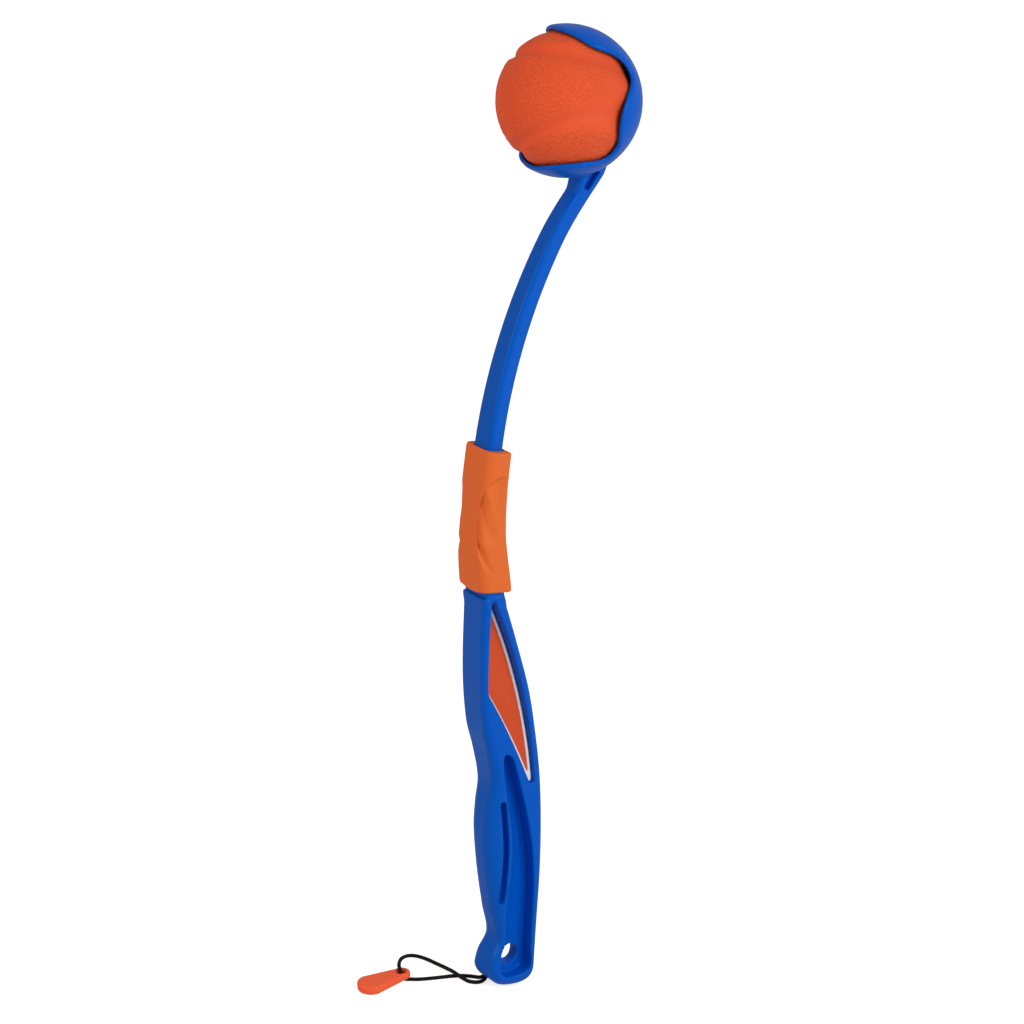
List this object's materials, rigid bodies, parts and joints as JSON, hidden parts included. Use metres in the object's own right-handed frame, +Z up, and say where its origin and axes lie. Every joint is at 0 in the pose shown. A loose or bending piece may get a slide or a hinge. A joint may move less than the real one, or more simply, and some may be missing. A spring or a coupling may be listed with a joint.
{
  "type": "dog ball launcher",
  "caption": "Folding ball launcher for dogs: moulded handle, curved throwing arm with a two-lipped ball cup, sliding lock sleeve, rubber ball and a wrist cord with a pull tab.",
  "frame": {"origin": "middle of the grip, where the hand holds the handle", "axes": "+Z up along the stick towards the ball, -X the side that the cup's mouth faces, the stick lies in the XZ plane"},
  "size_m": [0.1326, 0.0741, 0.4621],
  "materials": {
    "blue_plastic": "satin moulded polypropylene",
    "pin_steel": "plain",
    "label_plastic": "printed, with a pale border",
    "sleeve_rubber": "soft matte",
    "ball_rubber": "fine pebbled, with smooth bands",
    "cord_fabric": "woven",
    "tab_plastic": "soft matte"
  },
  "bodies": {
    "handle": {"handle": "blue_plastic", "hinge_pin": "pin_steel", "label": "label_plastic", "cord": "cord_fabric", "cord_knot": "cord_fabric", "pull_tab": "tab_plastic"},
    "arm": {"throwing_arm": "blue_plastic"},
    "sleeve": {"sleeve": "sleeve_rubber"},
    "ball": {"ball": "ball_rubber"}
  },
  "joints": [
    {"name": "fold_hinge", "type": "hinge", "parent": "handle", "child": "arm", "pos_m": [-0.01588, 0, 0.13142], "axis": [0, -1, 0], "range_deg": [0, 150]},
    {"name": "sleeve_slide", "type": "hinge", "parent": "arm", "child": "sleeve", "pos_m": [0.2461, 0, 0.148], "axis": [0, 1, 0], "range_deg": [0, 16.8]},
    {"name": "ball_release", "type": "slide", "parent": "arm", "child": "ball", "axis": [-0.9659, 0, 0.2588], "range_m": [0, 0.08], "deforming": ["ball"]}
  ],
  "couplings": [
    {"joint": "sleeve_slide", "follows": "fold_hinge", "ratio": 0.1117}
  ]
}
